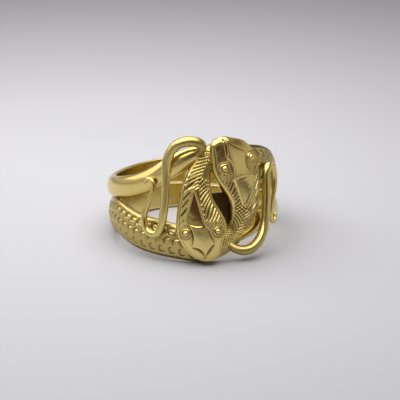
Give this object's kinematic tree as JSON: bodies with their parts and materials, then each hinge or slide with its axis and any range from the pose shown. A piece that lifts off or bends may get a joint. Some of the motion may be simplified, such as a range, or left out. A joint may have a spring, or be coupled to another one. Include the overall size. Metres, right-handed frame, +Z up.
{
  "type": "snake ring",
  "caption": "Gold finger ring of two interlaced snakes with engraved heads side by side on the bezel and looped wire tails.",
  "frame": {"origin": "centre of the finger hole, midway round and midway along the back of the shank", "axes": "+Z up as the ring rests on its side, -Y towards the bezel with the heads, +X to the right seen from the bezel; the finger's axis leans back from +Z by 12 degrees because the bezel end lies higher"},
  "size_m": [0.0201, 0.0222, 0.0146],
  "materials": {
    "gold": "polished yellow gold with darker patina in the engraving"
  },
  "bodies": {
    "root": {"upper_snake": "gold", "lower_snake": "gold"}
  },
  "joints": []
}
